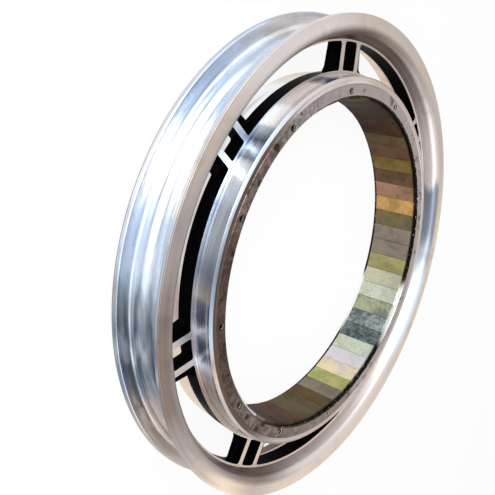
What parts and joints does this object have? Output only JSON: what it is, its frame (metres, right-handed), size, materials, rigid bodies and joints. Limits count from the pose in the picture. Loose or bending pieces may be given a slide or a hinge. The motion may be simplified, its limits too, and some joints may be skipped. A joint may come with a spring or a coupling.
{
  "type": "hub motor rotor wheel",
  "caption": "Motorcycle wheel rim cast in one piece with the drum of a hub motor, with paired straight spokes, a steel yoke ring pressed into the drum and block magnets round its bore.",
  "frame": {"origin": "on the wheel axis, halfway between the two end faces of the drum, which is the centre of the bounding box", "axes": "+Z along the wheel axis towards the open front with the bolt circle; +X through the first tapped hole of the bolt circle; +Y completes the right-handed frame"},
  "size_m": [0.4644, 0.4644, 0.0556],
  "materials": {
    "cast_aluminium": "turned and polished where machined, black paint in the windows",
    "yoke_steel": "turned, dull, with light rust",
    "magnet_plating": "nickel plated, satin, tarnished"
  },
  "bodies": {
    "root": {"cast_wheel": "cast_aluminium", "yoke_ring": "yoke_steel", "magnet_01": "magnet_plating", "magnet_02": "magnet_plating", "magnet_03": "magnet_plating", "magnet_04": "magnet_plating", "magnet_05": "magnet_plating", "magnet_06": "magnet_plating", "magnet_07": "magnet_plating", "magnet_08": "magnet_plating", "magnet_09": "magnet_plating", "magnet_10": "magnet_plating", "magnet_11": "magnet_plating", "magnet_12": "magnet_plating", "magnet_13": "magnet_plating", "magnet_14": "magnet_plating", "magnet_15": "magnet_plating", "magnet_16": "magnet_plating", "magnet_17": "magnet_plating", "magnet_18": "magnet_plating", "magnet_19": "magnet_plating", "magnet_20": "magnet_plating", "magnet_21": "magnet_plating", "magnet_22": "magnet_plating", "magnet_23": "magnet_plating", "magnet_24": "magnet_plating", "magnet_25": "magnet_plating", "magnet_26": "magnet_plating", "magnet_27": "magnet_plating", "magnet_28": "magnet_plating", "magnet_29": "magnet_plating", "magnet_30": "magnet_plating", "magnet_31": "magnet_plating", "magnet_32": "magnet_plating", "magnet_33": "magnet_plating", "magnet_34": "magnet_plating", "magnet_35": "magnet_plating", "magnet_36": "magnet_plating", "magnet_37": "magnet_plating", "magnet_38": "magnet_plating", "magnet_39": "magnet_plating", "magnet_40": "magnet_plating", "magnet_41": "magnet_plating", "magnet_42": "magnet_plating", "magnet_43": "magnet_plating", "magnet_44": "magnet_plating", "magnet_45": "magnet_plating", "magnet_46": "magnet_plating", "magnet_47": "magnet_plating", "magnet_48": "magnet_plating", "magnet_49": "magnet_plating", "magnet_50": "magnet_plating", "magnet_51": "magnet_plating", "magnet_52": "magnet_plating", "magnet_53": "magnet_plating", "magnet_54": "magnet_plating", "magnet_55": "magnet_plating", "magnet_56": "magnet_plating"}
  },
  "joints": []
}
